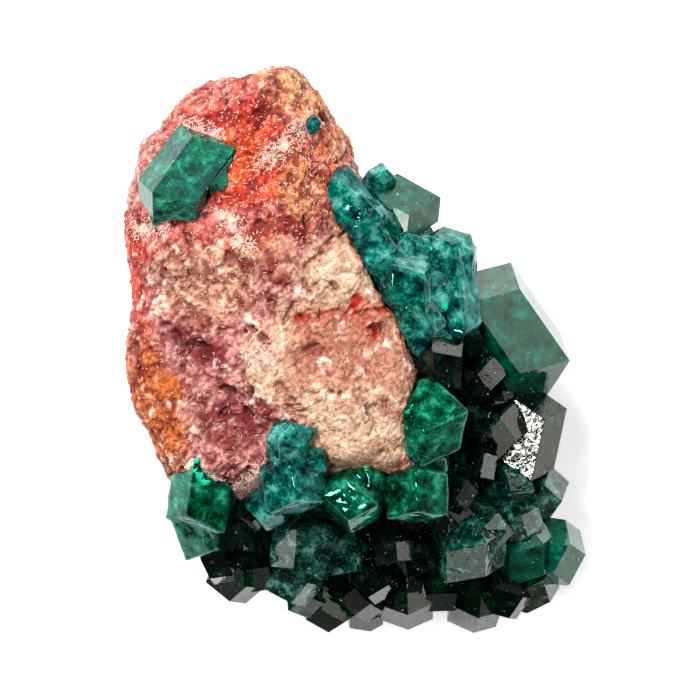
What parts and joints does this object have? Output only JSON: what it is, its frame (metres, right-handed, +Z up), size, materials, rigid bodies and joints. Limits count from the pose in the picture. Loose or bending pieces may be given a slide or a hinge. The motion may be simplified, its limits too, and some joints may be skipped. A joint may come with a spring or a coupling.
{
  "type": "dioptase on matrix",
  "caption": "Mineral specimen: emerald-green dioptase crystals grown round two sides of a granular, iron-stained rock, lying on its flat broken back",
  "frame": {"origin": "middle of the overall box, on the plane of the flat broken back", "axes": "+Z up out of the front face, +Y towards the bare peak of the rock, +X towards the crystal-covered flank"},
  "size_m": [0.0378, 0.0462, 0.0228],
  "materials": {
    "matrix_rock": "sugary granular, iron-stained, dull",
    "dioptase_clear": "glassy crystal faces, deep green, see-through",
    "dioptase_milky": "glassy crystal faces, teal, full of veils"
  },
  "bodies": {
    "root": {"matrix": "matrix_rock", "upper_left_crystal": "dioptase_clear", "tiny_top_crystal": "dioptase_milky", "large_right_crystal": "dioptase_clear", "big_green_crystal": "dioptase_clear", "front_rim_hexagonal_crystal": "dioptase_milky", "front_rim_crystal": "dioptase_milky", "glassy_lower_crystal": "dioptase_clear", "lower_left_crystal": "dioptase_milky", "teal_stack": "dioptase_milky", "upper_right_crystals": "dioptase_milky", "grey_faced_crystal": "dioptase_clear", "tall_ridge_crystals": "dioptase_milky", "teal_ridge": "dioptase_milky", "middle_right_crystals": "dioptase_clear", "slate_crystals": "dioptase_clear", "right_edge_crystal": "dioptase_clear", "lower_right_edge_crystals": "dioptase_clear", "small_inner_crystals": "dioptase_clear", "right_tip_crystals": "dioptase_clear", "bottom_right_crystals": "dioptase_clear", "bottom_middle_crystals": "dioptase_clear", "bottom_point_crystals": "dioptase_clear", "lower_middle_crystals": "dioptase_clear", "lower_left_cluster": "dioptase_clear", "right_druse": "dioptase_clear", "upper_right_druse": "dioptase_clear", "corner_druse": "dioptase_clear", "bottom_druse": "dioptase_clear"}
  },
  "joints": []
}
